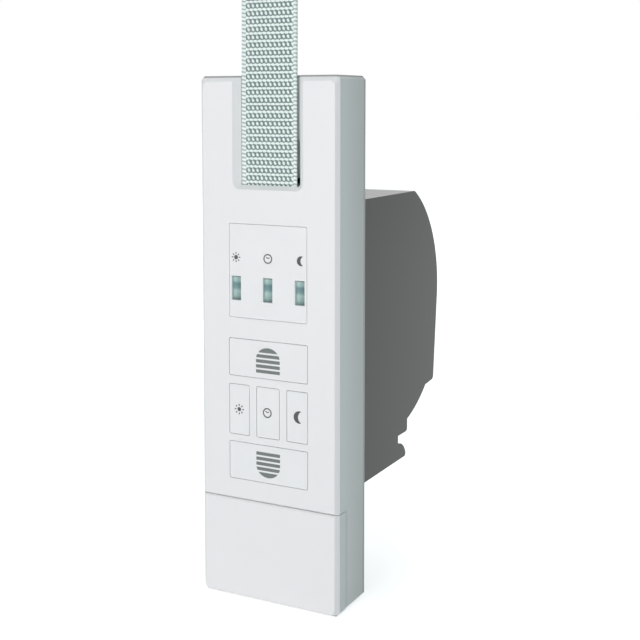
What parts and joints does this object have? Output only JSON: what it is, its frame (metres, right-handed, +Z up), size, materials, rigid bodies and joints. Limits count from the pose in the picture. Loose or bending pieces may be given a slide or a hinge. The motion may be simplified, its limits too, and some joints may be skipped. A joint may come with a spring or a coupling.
{
  "type": "electric belt winder",
  "caption": "Motorised roller-shutter belt winder: slim white wall case with keys and indicator windows, woven belt in a top channel, dark in-wall housing with geared winding drum.",
  "frame": {"origin": "middle of the wall case on the wall plane", "axes": "+Z up along the belt, +X to the right seen from the room, front faces -Y, the in-wall housing lies on +Y"},
  "size_m": [0.0576, 0.1207, 0.2408],
  "materials": {
    "shell_white": "fine satin moulded white plastic",
    "panel_white": "smooth white insert",
    "key_white": "satin white key caps",
    "window_teal": "clear light guide with a teal tint",
    "back_grey": "matt grey moulded plate",
    "housing_grey": "matt dark grey moulded plastic",
    "belt_weave": "grey green woven webbing",
    "drum_plastic": "natural moulded plastic",
    "gear_plastic": "ivory gear plastic",
    "steel": "plain steel",
    "screw_zinc": "zinc plated screws",
    "worm_brass": "turned brass",
    "bush_bronze": "sintered bronze",
    "motor_metal": "zinc plated can",
    "rotor_metal": "laminated rotor with windings",
    "magnet_black": "ferrite magnet",
    "cap_black": "black moulded plastic",
    "board_green": "green circuit board",
    "led_clear": "clear indicator lamp",
    "relay_blue": "blue relay box",
    "transformer_yellow": "wound core with yellow tape",
    "connector_white": "white connector shell",
    "wire_black": "insulated wire",
    "terminal_grey": "grey terminal block"
  },
  "bodies": {
    "root": {"front_case": "shell_white", "indicator_panel": "panel_white", "sun_window": "window_teal", "clock_window": "window_teal", "moon_window": "window_teal", "back_plate": "back_grey", "housing_left": "housing_grey", "housing_right": "housing_grey", "shutter_belt": "belt_weave", "drum_axle": "steel", "countershaft_pin": "steel", "guide_roller_pin": "steel", "motor_bracket": "steel", "worm_end_plate": "steel", "belt_end_clamp": "steel", "case_screws": "screw_zinc", "housing_screws": "screw_zinc", "flange_screws": "screw_zinc", "motor_screws": "screw_zinc", "board_screws": "screw_zinc", "clamp_screws": "screw_zinc", "terminal_screws": "screw_zinc", "motor_can": "motor_metal", "motor_magnets": "magnet_black", "motor_end_cap": "cap_black", "controller_chip": "cap_black", "hall_sensor": "cap_black", "supply_capacitor": "cap_black", "key_switches": "cap_black", "main_board": "board_green", "status_leds": "led_clear", "motor_relays": "relay_blue", "mains_transformer": "transformer_yellow", "motor_connector": "connector_white", "mains_connector": "connector_white", "motor_leads": "wire_black", "mains_leads": "wire_black", "terminal_block": "terminal_grey", "cable_clamp": "terminal_grey"},
    "up_key": {"up_key": "key_white"},
    "down_key": {"down_key": "key_white"},
    "sun_key": {"sun_key": "key_white"},
    "clock_key": {"clock_key": "key_white"},
    "moon_key": {"moon_key": "key_white"},
    "cover": {"terminal_cover": "shell_white"},
    "drum": {"drum_core": "drum_plastic", "drum_flange": "drum_plastic", "drum_gear": "gear_plastic", "drum_screws": "screw_zinc", "drum_bushes": "bush_bronze", "belt_roll": "belt_weave", "belt_hook": "steel"},
    "countershaft": {"worm_wheel": "gear_plastic", "pinion": "gear_plastic"},
    "motor_spindle": {"worm": "worm_brass", "motor_shaft": "steel", "motor_rotor": "rotor_metal", "encoder_magnet": "magnet_black"},
    "roller": {"guide_roller": "drum_plastic"}
  },
  "joints": [
    {"name": "up_key_press", "type": "slide", "parent": "root", "child": "up_key", "axis": [0, 1, 0], "range_m": [0, 0.0008], "stiffness_N_per_m": 300},
    {"name": "down_key_press", "type": "slide", "parent": "root", "child": "down_key", "axis": [0, 1, 0], "range_m": [0, 0.0008], "stiffness_N_per_m": 300},
    {"name": "sun_key_press", "type": "slide", "parent": "root", "child": "sun_key", "axis": [0, 1, 0], "range_m": [0, 0.0008], "stiffness_N_per_m": 300},
    {"name": "clock_key_press", "type": "slide", "parent": "root", "child": "clock_key", "axis": [0, 1, 0], "range_m": [0, 0.0008], "stiffness_N_per_m": 300},
    {"name": "moon_key_press", "type": "slide", "parent": "root", "child": "moon_key", "axis": [0, 1, 0], "range_m": [0, 0.0008], "stiffness_N_per_m": 300},
    {"name": "cover_off", "type": "slide", "parent": "root", "child": "cover", "axis": [0, -1, 0], "range_m": [0, 0.03]},
    {"name": "drum_spin", "type": "hinge", "parent": "root", "child": "drum", "pos_m": [0, 0.05, 0.007], "axis": [1, 0, 0], "continuous": true},
    {"name": "countershaft_spin", "type": "hinge", "parent": "root", "child": "countershaft", "pos_m": [0, 0.047, -0.0359], "axis": [1, 0, 0], "continuous": true},
    {"name": "motor_spin", "type": "hinge", "parent": "root", "child": "motor_spindle", "pos_m": [0, 0.045, -0.0479], "axis": [0, 1, 0], "continuous": true},
    {"name": "roller_spin", "type": "hinge", "parent": "root", "child": "roller", "pos_m": [0, -0.0132, 0.0535], "axis": [1, 0, 0], "continuous": true}
  ],
  "couplings": [
    {"joint": "countershaft_spin", "follows": "drum_spin", "ratio": -5.1429},
    {"joint": "motor_spin", "follows": "drum_spin", "ratio": 102.86},
    {"joint": "roller_spin", "follows": "drum_spin", "ratio": -6.2}
  ]
}
